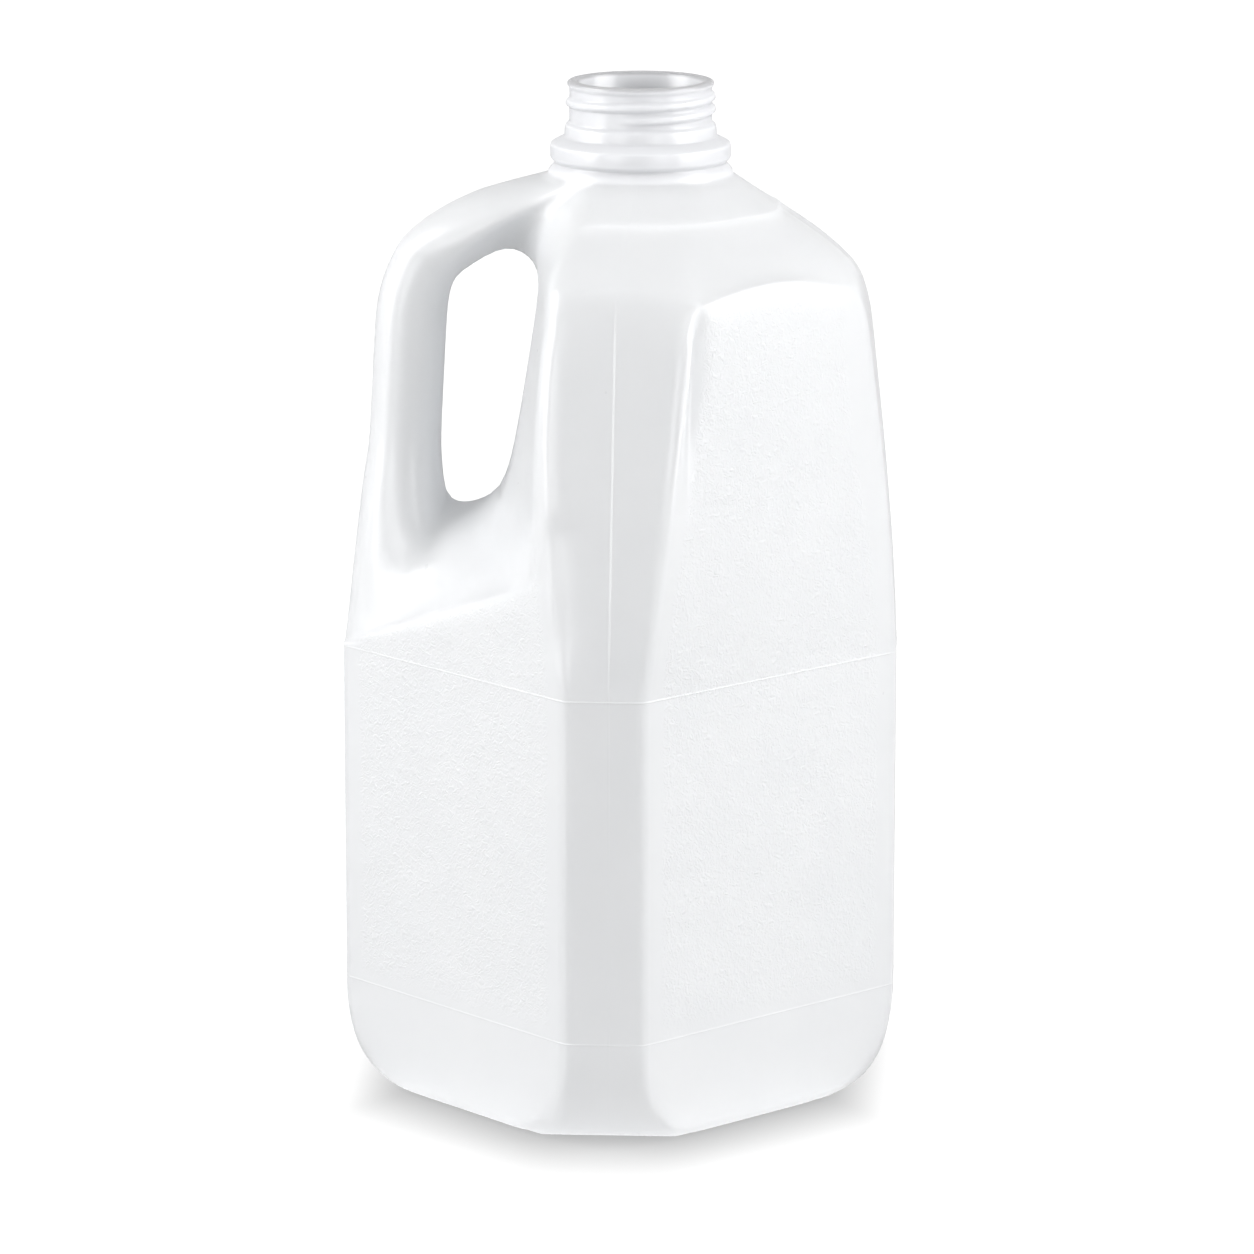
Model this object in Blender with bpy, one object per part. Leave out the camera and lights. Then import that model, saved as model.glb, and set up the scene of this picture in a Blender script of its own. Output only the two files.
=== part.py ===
"""Half gallon cider jug of natural plastic: one blow moulded shell with an open screw neck."""

import math

import bmesh
import bpy
from mathutils import Vector

# Sizes are in millimetres and angles in degrees; MM turns a length into Blender's metres.
MM = 0.001
ROOT2 = math.sqrt(2.0)

# Shell thickness of the body; the neck is thicker.
WALL = 0.45

# Lower body: a square with cut corners, turned so that its corners lie on the X and Y axes.
# CORNER and FACE are the distances from the axis to a cut corner and to a label face.
CORNER = 65.9
FACE = 53.1
EDGE = FACE * ROOT2 - CORNER
MID_SEAM = 108.0

# Heel: how far it reaches in and how high it starts, at a corner and under a label face.
HEEL_CORNER_IN = 14.9
HEEL_CORNER_UP = 20.2
HEEL_FACE_IN = 5.8
HEEL_FACE_UP = 5.8
HEEL_ANGLES = (60.0, 30.0, 0.0)
CONTACT_SHARE = 0.84
RECESS_SHARE = 0.70
RECESS_HEIGHT = 2.9

# Upper body: the cut corners lean in and widen up to the shoulder, the label faces stay upright.
WALL_TOP = 193.0
CORNER_LEAN = 7.7
FRONT_LEAN = 8.6
LEAN_CURVE = 1.45
RIDGE_SPREAD = 9.7
RIDGE_SHIFT = 2.3
RIDGE_BULGE = 2.7
SHOULDER_EDGE = 55.3
SHOULDER_FACE = 51.8
SHOULDER_HEIGHT = 200.5
SHOULDER_RIDGES = (10.6, 17.8)
SHOULDER_SHARES = (0.78, 0.52, 0.25)
# The shoulder falls in a straight slope with this share of its fall bent in at the outer edge.
SHOULDER_BEND = 0.13
SHOULDER_BEND_CURVE = 6
SHOULDER_SAG = 1.0

# Grip pocket: its lower edge climbs across the label face, then turns up beside the front corner.
CREASE_START = 109.2
CREASE_CLIMB = 0.5
CREASE_TURN = 133.2
CREASE_STRAIGHT = 164.2
CREASE_GAP_LOW = 8.6
CREASE_GAP_HIGH = 2.1
CREASE_GAP_CURVE = 1.5
POCKET_RISE = 0.33
WALL_FOOT_LOW = 29.8
WALL_FOOT_HIGH = 20.1
WALL_FOOT_CURVE = 0.8
WALL_FOOT_TOP = 199.0

# Handle: an oval tube that runs up the -X corner and bends over to the neck.
TUBE_THICK = 8.1
TUBE_DEPTH = 10.6
TUBE_FLARE = 1.2
TUBE_START = Vector((-52.0, 0.0, 146.9))
TUBE_LEAN = 0.055
TUBE_TILT = 3.0
TUBE_BEND = Vector((-45.7, 0.0, 200.4))
TUBE_BEND_TILT = 28.0
TUBE_ANGLES = (0.0, 45.0, 90.0, 135.0, 180.0)
GRIP_HEIGHTS = (154.6, 167.0, 180.5, 193.0)
HOLE_BOTTOM = Vector((-36.5, 0.0, 144.5))
HOLE_TOP = Vector((-26.7, 0.0, 204.5))
# A smooth surface runs inside an eight sided ring of control points by this share.
RING_SHRINK = 0.9
# How far the handle's root swells out past a straight run from handle to neck.
ROOT_BACK = 8.3
ROOT_OUT = 8.2
ROOT_UP = 0.7
ROOT_CROWN = 3.1
ROOT_FADE = 0.75

# Neck: radius and height of each turn of its outside and inside, from the shoulder up.
# A grip ring stands out below a plain band, the threaded wall and a small lip.
NECK_OFFSET = 4.67
NECK_BASE = (22.0, 220.9)
NECK_OUTSIDE = (
    (20.2, 223.9),
    (21.2, 225.2),
    (21.2, 228.1),
    (18.0, 229.9),
    (17.9, 232.5),
    (16.8, 233.3),
    (16.8, 241.4),
    (17.2, 242.1),
    (17.0, 243.0),
)
NECK_WALL = 16.8
NECK_INSIDE = ((15.9, 226.1), (14.7, 229.9), (14.7, 243.0))

# Screw thread: one start, right handed, from the front left round to the back.
THREAD_PITCH = 3.0
THREAD_FIRST = 72.0
THREAD_LAST = 620.0
THREAD_STEP = 11.0
THREAD_FADE = 30.0
THREAD_FRONT = 90.0
THREAD_LEVEL = 235.5
THREAD_CREST = 17.6
THREAD_ROOT_HALF = 1.3
THREAD_CREST_HALF = 0.5
THREAD_SUNK = 0.5

# Columns of the control cage, from -X round the front of the jug to +X.
CORNER_EDGE = 1
HOLE = 5
POCKET_WALL = 7
CREASE = 8
LEFT_RIDGE = 9
FRONT = 10
RIGHT_RIDGE = 11
FAR_EDGE = 14
FAR = 15
COLUMNS = range(FAR + 1)
LEFT_FACE_SHARES = (0.12, 0.26, 0.40, 0.53, 0.65, 0.76, 0.86)
RIGHT_FACE_SHARES = (0.33, 0.67)
# Angle of each column round the neck, from the handle's side.
NECK_ANGLES = (0, 11, 22, 32, 41, 50, 59, 68, 76, 83, 92, 110, 128, 146, 163, 180)

# Rows of the control cage, from the base up.
CONTACT_ROWS = (1, 2)
CREASE_ROW = 2 + len(HEEL_ANGLES) + 3
TOP_ROW = CREASE_ROW + 3 + len(GRIP_HEIGHTS)

# Edge sharpness in the cage, from 0 for fully round to 1 for sharp.
CORNER_SHARP = 0.55
CREASE_SHARP = 0.45
FLOOR_SHARP = 1.0

BODY_LEVELS = 1
MIRROR_MERGE = 0.05
SHADE_ANGLE = 35.0

PLASTIC_COLOUR = (0.84, 0.85, 0.85, 1.0)
PLASTIC_ROUGHNESS = 0.38


def mix(start, end, share):
    """The number or point that lies a share of the way from start to end."""
    return start + (end - start) * share


def clamp(share):
    return max(0.0, min(1.0, share))


def cut_square(corner, face, left=None, right=None, front=None):
    """Half an outline with cut corners, one (x, y) point for each column of the cage."""
    edge = face * ROOT2 - corner
    front = corner if front is None else front
    left = edge if left is None else left
    right = edge if right is None else right
    handle_side = Vector((-corner, -edge))
    left_ridge = Vector((-left, -front))
    right_ridge = Vector((right, -front))
    far_side = Vector((corner, -edge))
    points = [Vector((-corner, 0.0)), handle_side]
    points += [mix(handle_side, left_ridge, share) for share in LEFT_FACE_SHARES]
    points += [left_ridge, mix(left_ridge, right_ridge, 0.5), right_ridge]
    points += [mix(right_ridge, far_side, share) for share in RIGHT_FACE_SHARES]
    points += [far_side, Vector((corner, 0.0))]
    return points


def at_height(points, height):
    return [Vector((point.x, point.y, height)) for point in points]


def base_rows():
    """The raised middle of the base and the flat ring that the jug stands on."""
    contact = cut_square(CORNER - HEEL_CORNER_IN, FACE - HEEL_FACE_IN)
    recess = [point * RECESS_SHARE for point in contact]
    inner = [point * CONTACT_SHARE for point in contact]
    return [at_height(recess, RECESS_HEIGHT), at_height(inner, 0.0), at_height(contact, 0.0)]


def heel_row(angle):
    """One row of the rounded heel: 90 degrees is the floor and 0 the upright wall."""
    reach = 1.0 - math.cos(math.radians(angle))
    rise = 1.0 - math.sin(math.radians(angle))
    outline = cut_square(CORNER - HEEL_CORNER_IN * reach, FACE - HEEL_FACE_IN * reach)
    row = at_height(outline, HEEL_FACE_UP * rise)
    for column in (0, CORNER_EDGE, LEFT_RIDGE, FRONT, RIGHT_RIDGE, FAR_EDGE, FAR):
        row[column].z = HEEL_CORNER_UP * rise
    return row


def lean(height):
    """How far up the leaning wall a height lies: 0 at the seam and 1 at the shoulder."""
    return clamp((height - MID_SEAM) / (WALL_TOP - MID_SEAM))


def front_distance(height):
    """Distance from the axis to the cut front corner."""
    return CORNER - FRONT_LEAN * lean(height) ** LEAN_CURVE


def left_ridge(height):
    """Distance from the middle to the edge of the front corner on the pocket's side."""
    share = lean(height)
    return EDGE + RIDGE_SHIFT * share + 4.0 * RIDGE_BULGE * share * (1.0 - share)


def wall_outline(height):
    """The outline of the upper body, as if it had no grip pocket."""
    share = lean(height)
    corner = CORNER - CORNER_LEAN * share ** LEAN_CURVE
    return cut_square(corner, FACE, left_ridge(height), EDGE + RIDGE_SPREAD * share, front_distance(height))


def crease_height(x):
    """Height of the pocket's lower edge on the label face."""
    return CREASE_START + CREASE_CLIMB * (x + CORNER)


def seam_to_crease_row(share):
    """A row between the middle seam and the pocket's lower edge, which is at share 1."""
    face = cut_square(CORNER, FACE)
    row = []
    for point in face[:LEFT_RIDGE]:
        height = mix(MID_SEAM, crease_height(point.x), share)
        row.append(Vector((point.x, point.y, height)))
    height = mix(MID_SEAM, CREASE_TURN, share)
    return row + at_height(wall_outline(height)[LEFT_RIDGE:], height)


def tube_ring(centre, tilt, flare=0.0):
    """Half a ring round the handle, from its outer side to the side facing the hole."""
    outward = Vector((-math.cos(math.radians(tilt)), 0.0, math.sin(math.radians(tilt))))
    thick = (TUBE_THICK + flare) / RING_SHRINK
    depth = (TUBE_DEPTH + flare) / RING_SHRINK
    ring = []
    for angle in TUBE_ANGLES:
        around = math.radians(angle)
        side = Vector((0.0, -depth * math.sin(around), 0.0))
        ring.append(centre + outward * (thick * math.cos(around)) + side)
    return ring


def tube_centre(height):
    x = TUBE_START.x + TUBE_LEAN * (height - TUBE_START.z)
    return Vector((x, 0.0, height))


def crease_point(height):
    """The pocket's upright edge, which closes in on the front corner as it rises."""
    low = clamp((CREASE_STRAIGHT - height) / (CREASE_STRAIGHT - CREASE_TURN))
    gap = mix(CREASE_GAP_HIGH, CREASE_GAP_LOW, low ** CREASE_GAP_CURVE)
    x = left_ridge(height) + gap
    y = min(FACE * ROOT2 - x, front_distance(height) - gap / 2.0)
    return Vector((-x, -y, height))


def wall_foot(height):
    """Where the pocket's wall meets the middle plane, on the body side of the hole."""
    share = clamp((height - TUBE_START.z) / (WALL_TOP - TUBE_START.z))
    return Vector((-mix(WALL_FOOT_LOW, WALL_FOOT_HIGH, share ** WALL_FOOT_CURVE), 0.0, height))


def body_side(height):
    """The columns from the hole round the front to +X, at one height."""
    foot = wall_foot(height)
    crease = crease_point(height)
    outline = wall_outline(height)
    return [foot, mix(foot, crease, 0.5), crease] + at_height(outline[LEFT_RIDGE:], height)


def hole_bottom_row():
    handle = tube_ring(TUBE_START, TUBE_TILT, TUBE_FLARE)
    return handle + [HOLE_BOTTOM] + body_side(TUBE_START.z)


def pocket_row(crease, hole):
    """The hollow floor of the pocket, halfway from its edge to the foot of the hole."""
    row = []
    for column in COLUMNS:
        point = mix(crease[column], hole[column], 0.5)
        if CORNER_EDGE < column < CREASE:
            point.z = mix(crease[column].z, hole[column].z, POCKET_RISE)
        row.append(point)
    return row


def grip_row(height):
    """A row across the open hole, which has no point in the hole's own column."""
    return tube_ring(tube_centre(height), TUBE_TILT) + [None] + body_side(height)


def top_row():
    """The row over the top of the hole, where the walls turn in to the shoulder."""
    handle = tube_ring(TUBE_BEND, TUBE_BEND_TILT, -TUBE_FLARE / 2.0)
    foot = Vector((-WALL_FOOT_HIGH, 0.0, WALL_FOOT_TOP))
    left, right = SHOULDER_RIDGES
    outline = cut_square(SHOULDER_EDGE, SHOULDER_FACE, left, right)
    crease = Vector((-left - CREASE_GAP_HIGH, CREASE_GAP_HIGH - SHOULDER_EDGE, WALL_FOOT_TOP))
    pocket = [HOLE_TOP, foot, mix(foot, crease, 0.5), crease]
    return handle + pocket + at_height(outline[LEFT_RIDGE:], SHOULDER_HEIGHT)


def neck_point(column):
    radius, height = NECK_BASE
    angle = math.radians(NECK_ANGLES[column])
    return Vector((NECK_OFFSET - radius * math.cos(angle), -radius * math.sin(angle), height))


def root_swell(column):
    """How far the handle's root stands out from a straight run to the neck."""
    angle = math.radians(TUBE_ANGLES[min(column, HOLE - 1)])
    swell = Vector((-ROOT_BACK, -ROOT_OUT * math.sin(angle / 2.0), ROOT_UP))
    swell.z += ROOT_CROWN * math.cos(angle)
    return swell if column < HOLE else swell * ROOT_FADE


def shoulder_point(column, start, share):
    """A point of the shoulder: share is 1 at its outer edge and 0 at the neck."""
    end = neck_point(column)
    if column <= POCKET_WALL:
        middle = mix(start, end, 0.5) + root_swell(column)
        return mix(mix(end, middle, share), mix(middle, start, share), share)
    point = mix(end, start, share)
    fall = mix(share, share ** SHOULDER_BEND_CURVE, SHOULDER_BEND)
    sag = 4.0 * SHOULDER_SAG * share * (1.0 - share)
    point.z = end.z - (end.z - start.z) * fall - sag
    return point


def body_rows():
    """Every row of the control cage, from the base up to the neck."""
    crease = seam_to_crease_row(1.0)
    hole = hole_bottom_row()
    top = top_row()
    rows = base_rows()
    rows += [heel_row(angle) for angle in HEEL_ANGLES]
    rows.append(at_height(cut_square(CORNER, FACE), MID_SEAM))
    rows += [seam_to_crease_row(0.5), crease, pocket_row(crease, hole), hole]
    rows += [grip_row(height) for height in GRIP_HEIGHTS]
    rows.append(top)
    for share in SHOULDER_SHARES:
        rows.append([shoulder_point(column, top[column], share) for column in COLUMNS])
    rows.append([neck_point(column) for column in COLUMNS])
    return rows


def sharpen(shell, line, sharpness):
    """Give each edge along a line of cage points its sharpness."""
    layer = shell.edges.layers.float["crease_edge"]
    for start, end in zip(line, line[1:]):
        if start is None or end is None:
            continue
        edge = shell.edges.get((start, end))
        if edge is not None:
            edge[layer] = sharpness


def build_cage():
    """The control cage of the front half, open along the middle plane and at the neck."""
    rows = body_rows()
    shell = bmesh.new()
    shell.edges.layers.float.new("crease_edge")
    grid = []
    for row in rows:
        line = [None if point is None else shell.verts.new(point * MM) for point in row]
        grid.append(line)
    pole = shell.verts.new((0.0, 0.0, RECESS_HEIGHT * MM))
    for left, right in zip(grid[0], grid[0][1:]):
        shell.faces.new((pole, right, left))
    for lower, upper in zip(grid, grid[1:]):
        for column in COLUMNS[:-1]:
            corners = (lower[column], lower[column + 1], upper[column + 1], upper[column])
            if None not in corners:
                shell.faces.new(corners)
    for index in CONTACT_ROWS:
        sharpen(shell, grid[index], FLOOR_SHARP)
    sharpen(shell, grid[CREASE_ROW][CORNER_EDGE:CREASE + 1], CREASE_SHARP)
    wall = grid[CONTACT_ROWS[-1]:TOP_ROW]
    for column in (LEFT_RIDGE, RIGHT_RIDGE, FAR_EDGE):
        sharpen(shell, [line[column] for line in wall], CORNER_SHARP)
    lower_wall = grid[CONTACT_ROWS[-1]:CREASE_ROW]
    sharpen(shell, [line[CORNER_EDGE] for line in lower_wall], CORNER_SHARP)
    return shell


def smooth_body():
    """The smooth outer skin of the body: the half cage mirrored and subdivided."""
    cage = build_cage()
    data = bpy.data.meshes.new("jug_cage")
    cage.to_mesh(data)
    cage.free()
    guide = bpy.data.objects.new("jug_cage", data)
    bpy.context.scene.collection.objects.link(guide)
    mirror = guide.modifiers.new("Mirror", "MIRROR")
    mirror.use_axis = (False, True, False)
    mirror.merge_threshold = MIRROR_MERGE * MM
    smooth = guide.modifiers.new("Subdivision", "SUBSURF")
    smooth.levels = BODY_LEVELS
    smooth.render_levels = BODY_LEVELS
    bpy.context.view_layer.update()
    evaluated = guide.evaluated_get(bpy.context.evaluated_depsgraph_get())
    skin = bmesh.new()
    skin.from_mesh(evaluated.to_mesh())
    bpy.data.objects.remove(guide)
    bpy.data.meshes.remove(data)
    return skin


def open_edges(skin):
    return [edge for edge in skin.edges if edge.is_boundary]


def raise_ring(skin, edges, radius, height):
    """Extrude a ring of edges to a circle round the neck's axis and return the new ring."""
    made = bmesh.ops.extrude_edge_only(skin, edges=edges)["geom"]
    for vert in made:
        if isinstance(vert, bmesh.types.BMVert):
            angle = math.atan2(vert.co.y, vert.co.x - NECK_OFFSET * MM)
            vert.co.x = (NECK_OFFSET + radius * math.cos(angle)) * MM
            vert.co.y = radius * math.sin(angle) * MM
            vert.co.z = height * MM
    return [edge for edge in made if isinstance(edge, bmesh.types.BMEdge)]


def build_shell():
    """The whole jug but its thread: outer skin, inner skin and the neck that joins them."""
    skin = smooth_body()
    skin.normal_update()
    outer_ring = open_edges(skin)
    inner_skin = bmesh.ops.duplicate(skin, geom=skin.faces[:] + skin.edges[:] + skin.verts[:])
    inner_faces = [item for item in inner_skin["geom"] if isinstance(item, bmesh.types.BMFace)]
    inner_verts = [item for item in inner_skin["geom"] if isinstance(item, bmesh.types.BMVert)]
    inward = [vert.normal * (WALL * MM) for vert in inner_verts]
    for vert, offset in zip(inner_verts, inward):
        vert.co -= offset
    bmesh.ops.reverse_faces(skin, faces=inner_faces)
    inner_ring = [edge for edge in open_edges(skin) if edge not in outer_ring]
    for radius, height in NECK_OUTSIDE:
        outer_ring = raise_ring(skin, outer_ring, radius, height)
    for radius, height in NECK_INSIDE:
        inner_ring = raise_ring(skin, inner_ring, radius, height)
    bmesh.ops.bridge_loops(skin, edges=outer_ring + inner_ring)
    bmesh.ops.recalc_face_normals(skin, faces=skin.faces[:])
    return skin


def thread_section(angle):
    """The four corners of the thread's ridge where it has turned by an angle."""
    ends = min(angle - THREAD_FIRST, THREAD_LAST - angle)
    crest = mix(NECK_WALL - THREAD_SUNK / 2.0, THREAD_CREST, clamp(ends / THREAD_FADE))
    root = NECK_WALL - THREAD_SUNK
    middle = THREAD_LEVEL + THREAD_PITCH * (angle - THREAD_FRONT) / 360.0
    around = math.radians(angle)
    corners = (
        (root, -THREAD_ROOT_HALF),
        (crest, -THREAD_CREST_HALF),
        (crest, THREAD_CREST_HALF),
        (root, THREAD_ROOT_HALF),
    )
    section = []
    for radius, rise in corners:
        x = NECK_OFFSET - radius * math.cos(around)
        section.append(Vector((x, -radius * math.sin(around), middle + rise)) * MM)
    return section


def build_thread():
    """The thread's ridge as a closed solid whose foot is sunk in the neck's wall."""
    ridge = bmesh.new()
    count = round((THREAD_LAST - THREAD_FIRST) / THREAD_STEP)
    rings = []
    for step in range(count + 1):
        angle = mix(THREAD_FIRST, THREAD_LAST, step / count)
        rings.append([ridge.verts.new(corner) for corner in thread_section(angle)])
    for near, far in zip(rings, rings[1:]):
        for side in range(4):
            after = (side + 1) % 4
            ridge.faces.new((near[side], near[after], far[after], far[side]))
    ridge.faces.new(rings[0])
    ridge.faces.new(reversed(rings[-1]))
    bmesh.ops.recalc_face_normals(ridge, faces=ridge.faces[:])
    return ridge


def add_object(name, mesh):
    data = bpy.data.meshes.new(name)
    mesh.to_mesh(data)
    mesh.free()
    thing = bpy.data.objects.new(name, data)
    bpy.context.scene.collection.objects.link(thing)
    return thing


def make_plastic():
    plastic = bpy.data.materials.new("natural_plastic")
    plastic.use_nodes = True
    shader = plastic.node_tree.nodes["Principled BSDF"]
    shader.inputs["Base Color"].default_value = PLASTIC_COLOUR
    shader.inputs["Roughness"].default_value = PLASTIC_ROUGHNESS
    shader.inputs["Metallic"].default_value = 0.0
    return plastic


def main():
    for thing in list(bpy.data.objects):
        bpy.data.objects.remove(thing)
    jug = add_object("jug", build_shell())
    thread = add_object("thread_ridge", build_thread())
    thread.hide_render = True
    thread.display_type = "WIRE"
    union = jug.modifiers.new("Thread", "BOOLEAN")
    union.operation = "UNION"
    union.object = thread
    jug.data.shade_smooth()
    jug.data.set_sharp_from_angle(angle=math.radians(SHADE_ANGLE))
    jug.data.materials.append(make_plastic())


if __name__ == "__main__":
    main()
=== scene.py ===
"""Cider jug of natural plastic in a plain studio: a blow moulded shell with seams, grain and thread."""

import math

import bmesh
import bpy
from bpy.props import FloatProperty, FloatVectorProperty, PointerProperty
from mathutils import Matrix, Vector


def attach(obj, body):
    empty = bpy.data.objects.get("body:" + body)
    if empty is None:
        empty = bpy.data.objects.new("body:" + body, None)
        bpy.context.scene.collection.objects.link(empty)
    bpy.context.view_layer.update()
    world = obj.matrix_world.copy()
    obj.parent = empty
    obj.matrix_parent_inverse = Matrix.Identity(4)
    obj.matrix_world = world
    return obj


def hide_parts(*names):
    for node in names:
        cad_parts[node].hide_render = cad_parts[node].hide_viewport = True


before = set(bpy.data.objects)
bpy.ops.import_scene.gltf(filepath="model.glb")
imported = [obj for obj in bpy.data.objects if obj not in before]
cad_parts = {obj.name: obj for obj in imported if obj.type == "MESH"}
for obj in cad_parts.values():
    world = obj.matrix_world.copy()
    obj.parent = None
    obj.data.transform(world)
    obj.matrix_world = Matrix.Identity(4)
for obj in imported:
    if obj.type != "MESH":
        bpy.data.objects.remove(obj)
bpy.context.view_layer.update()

bl_info = {
    "name": "Cider jug",
    "version": (1, 0, 0),
    "blender": (4, 5, 0),
    "location": "View3D > Sidebar > Cider jug",
    "description": "Models a blow moulded half gallon jug and a plain studio round it",
    "category": "Mesh",
}

# Shape sizes are in millimetres and angles in degrees; MM turns a length into Blender's metres.
MM = 0.001
ROOT2 = math.sqrt(2.0)

# Lower body: a square with cut corners, turned so that its corners lie on the X and Y axes.
CORNER = 65.9
FACE = 53.1
EDGE = FACE * ROOT2 - CORNER
MID_SEAM = 108.0
FOOT_SEAM = 26.3

# Heel: how far it reaches in and how high it starts, at a corner and under a label face. The flat
# ring that the jug stands on and the hollow inside it are shares of the heel's foot.
HEEL_CORNER_IN = 14.9
HEEL_CORNER_UP = 20.2
HEEL_FACE_IN = 5.8
HEEL_FACE_UP = 5.8
HEEL_ANGLES = (60.0, 30.0, 0.0)
CONTACT_SHARE = 0.84
RECESS_SHARE = 0.70
RECESS_HEIGHT = 2.9

# Upper body: the cut corners lean in and widen up to the shoulder, the label faces stay upright.
# A ridge is the upright edge between the front corner and a label face.
WALL_TOP = 193.0
CORNER_LEAN = 7.7
FRONT_LEAN = 8.6
LEAN_CURVE = 1.45
RIDGE_SPREAD = 11.5
RIDGE_SHIFT = 2.3
RIDGE_BULGE = 2.7

# Shoulder: its outer edge, the soft dips inside that edge as shares and depths, and the fine ledge
# across it. Shares run from 0 at the neck to 1 at the outer edge. A dip fades out over the last
# columns before +X, and over the front corner it is a slight crown instead.
SHOULDER_EDGE = 55.3
SHOULDER_FACE = 51.8
SHOULDER_HEIGHT = 200.5
SHOULDER_RIDGES = (11.5, 17.8)
SHOULDER_DIPS = ((0.93, 1.2), (0.78, 1.1), (0.58, 0.4))
DIP_COLUMNS = 3.0
FRONT_CROWN = 0.5
SHOULDER_LINE = 0.375
LEDGE_HALF = 0.9
LEDGE_SHARE = 6.0
SHOULDER_TOP_SHARE = 0.17
SHOULDER_REACH = 28.0
SHOULDER_BEND = 0.13
SHOULDER_BEND_CURVE = 6
SHOULDER_SAG = 1.0

# Label panel: a groove parts its upright edge from the front ridge and its top is an arch.
# Each gap is a distance from the face's edge, at the middle seam and at the shoulder.
GROOVE_GAP = (7.0, 2.0)
PANEL_GAP = (15.0, 4.6)
PANEL_FAR_GAP = (11.0, 6.0)
GROOVE_DEPTH = 3.7
GROOVE_START = 138.0
ARCH_RISE = (-1.0, -2.4, -1.6, 0.8, 0.8, -2.4, -3.0)
PANEL_TOP = 3.4

# Mould seams: the upright one crosses the cut front corner beside its middle.
SEAM_SIDE = 1.0
SEAM_SHIFT = 1.05
SEAM_HALF = 0.3

# Shares of the full rise: of the front seam below and above the pocket, and of the heel's seam and
# the parting line.
SEAM_FADE = 0.25
FOOT_SHARE = 0.6

# Grip pocket: its lower edge climbs across the label face, then turns up beside the front corner.
CREASE_START = 109.2
CREASE_CLIMB = 0.5
CREASE_TURN = 133.2
CREASE_STRAIGHT = 154.0
CREASE_GAP_LOW = 8.6
CREASE_GAP_HIGH = 3.0
CREASE_GAP_CURVE = 2.3
CREASE_SET_BACK = 0.7
LIP_IN = 2.6
LIP_UP = 0.9
LIP_SHARE = 0.12
POCKET_RISE = 0.46
POCKET_SINK = 0.55
WALL_FOOT_LOW = 29.8
WALL_FOOT_HIGH = 20.1
WALL_FOOT_CURVE = 0.8
WALL_FOOT_TOP = 199.0

# Handle: an oval tube that runs up the -X corner and bends over to the neck. Its rings are made
# larger, because smoothing shrinks them to a share of their size.
TUBE_THICK = 8.1
TUBE_DEPTH = 10.6
TUBE_FLARE = 1.2
TUBE_START = Vector((-52.0, 0.0, 146.9))
TUBE_LEAN = 0.055
TUBE_TILT = 3.0
TUBE_BEND = Vector((-45.7, 0.0, 200.4))
TUBE_BEND_TILT = 28.0
TUBE_ANGLES = (0.0, 45.0, 90.0, 135.0, 180.0)
TUBE_SQUARE = 0.14
RING_SHRINK = 0.9
GRIP_HEIGHTS = (154.6, 167.0, 180.5, WALL_TOP)
HOLE_BOTTOM = Vector((-36.5, 0.0, 144.5))
HOLE_TOP = Vector((-26.7, 0.0, 204.5))

# The handle's root swells out of the shoulder, less and less over the columns beside the hole.
ROOT_BACK = 8.3
ROOT_OUT = 8.2
ROOT_UP = 0.7
ROOT_CROWN = 3.1
ROOT_FADES = (0.75, 0.75, 0.5, 0.22)

# Neck: its axis lies a little towards +X. Its corners, from the shoulder up, are pairs of radius and
# height, and each is rounded over a reach, but never over more than a share of its sides.
NECK_OFFSET = 4.67
NECK_BASE = (22.0, 220.9)
NECK_OUTSIDE = (
    (21.7, 222.0),
    (20.1, 223.8),
    (21.3, 224.9),
    (21.3, 228.2),
    (18.0, 229.9),
    (17.8, 232.6),
    (16.85, 233.3),
    (16.75, 241.3),
    (17.25, 241.9),
    (17.25, 242.6),
    (16.8, 243.0),
    (15.2, 243.0),
)
NECK_INSIDE = ((17.3, 222.6), (15.2, 226.4), (14.65, 230.5), (14.65, 242.5))
NECK_ROUND = 0.45
ROUND_LIMIT = 0.45
ROUND_STEPS = 3
RING_STEP = 0.25

# Screw thread: one start, right handed, above the neck's band and below its lip. Angles run from -X
# round the front, where the thread crosses its level, to the back.
THREAD_PITCH = 3.0
THREAD_FIRST = 72.0
THREAD_LAST = 620.0
THREAD_FADE = 30.0
THREAD_FRONT = 90.0
THREAD_LEVEL = 235.5
THREAD_RISE = 0.85
THREAD_ROOT_HALF = 1.3
THREAD_CREST_HALF = 0.35
NECK_BAND = 232.8
NECK_LIP = 241.6

# Grain: how far it reaches from the middle of a label face, and the heights between which it lies.
# It fades out where x plus y falls short of the flat face, from the second of these gaps to the first.
GRAIN_GAPS = (0.9, 0.3)
GRAIN_REACH = 50.0
GRAIN_EDGE = 4.0
GRAIN_NARROWING = 17.0
GRAIN_LOW = 26.0
GRAIN_HIGH = 200.0

# The neck's painted shade takes over between the first two heights, and the lip's between the others:
# the same plastic, painted darker for the dimmer look of its thick wall.
NECK_SHADE = (218.0, 224.0)
LIP_SHADE = (241.9, 242.7)

# Finish: the plastic's refraction, its patterns in cells per metre, how far the grain's cells are
# drawn out, and what grain and scuffs add to the roughness.
PLASTIC_IOR = 1.54
CLOUD_SCALE = 45.0
SCUFF_SCALE = 260.0
WAVE_SCALE = 110.0
GRAIN_TWIST = 1.2
GRAIN_DULLING = 0.12
SCUFF_DULLING = 0.06
FLOOR_ROUGHNESS = 0.9
WHITE = (1.0, 1.0, 1.0, 1.0)

# Camera: it looks down at the jug from a little to the right of its front corner. Its place and
# its reach are in metres.
CAMERA_PLACE = (0.0871, -1.4852, 0.4419)
CAMERA_DOWN = 12.53
CAMERA_TURN = 3.30
CAMERA_REACH = 50.0
SENSOR_WIDTH = 36.0

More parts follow.
